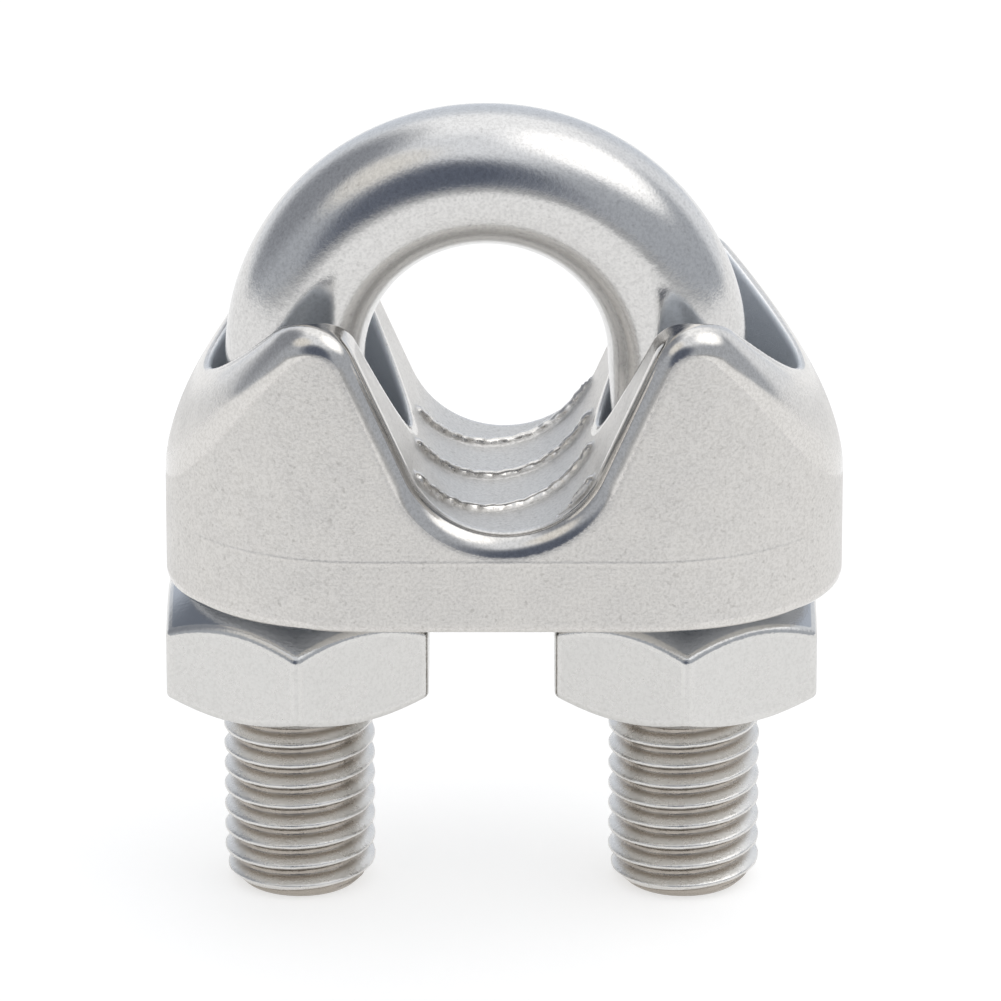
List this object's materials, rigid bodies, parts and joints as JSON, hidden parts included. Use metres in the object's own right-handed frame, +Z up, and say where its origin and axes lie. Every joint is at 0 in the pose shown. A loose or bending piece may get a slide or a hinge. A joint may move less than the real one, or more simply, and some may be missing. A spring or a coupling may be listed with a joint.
{
  "type": "wire rope clip",
  "caption": "U-bolt rope clip: a bent round bar with threaded ends, a cast saddle with a ribbed rope groove and leg pockets, and hexagon nuts that draw the saddle up.",
  "frame": {"origin": "below the middle of the saddle, at the level of the studs' end faces, which the part stands on; the middle of the two studs is 1 mm to the left of it", "axes": "+Z up from the stud ends to the top of the bend, X from the left leg to the right leg, Y along the rope"},
  "size_m": [0.0534, 0.026, 0.0651],
  "materials": {
    "polished_steel": "polished stainless steel bar, with duller rolled threads",
    "cast_steel": "satin cast stainless steel with polished edges",
    "nut_steel": "machined and tumbled stainless steel"
  },
  "bodies": {
    "u_bolt": {"u_bolt": "polished_steel"},
    "saddle": {"saddle": "cast_steel"},
    "nut_left": {"nut_left": "nut_steel"},
    "nut_right": {"nut_right": "nut_steel"}
  },
  "joints": [
    {"name": "saddle_travel", "type": "slide", "parent": "u_bolt", "child": "saddle", "axis": [0, 0, 1], "range_m": [-0.01663, 0.00438]},
    {"name": "nut_left_turn", "type": "hinge", "parent": "saddle", "child": "nut_left", "pos_m": [-0.0163, 0, 0.0213], "axis": [0, 0, 1], "range_deg": [-3420, 900]},
    {"name": "nut_right_turn", "type": "hinge", "parent": "saddle", "child": "nut_right", "pos_m": [0.0143, 0, 0.0213], "axis": [0, 0, 1], "range_deg": [-3420, 900]}
  ],
  "couplings": [
    {"joint": "nut_left_turn", "follows": "saddle_travel", "rad_per_m": 3590.4},
    {"joint": "nut_right_turn", "follows": "saddle_travel", "rad_per_m": 3590.4}
  ]
}
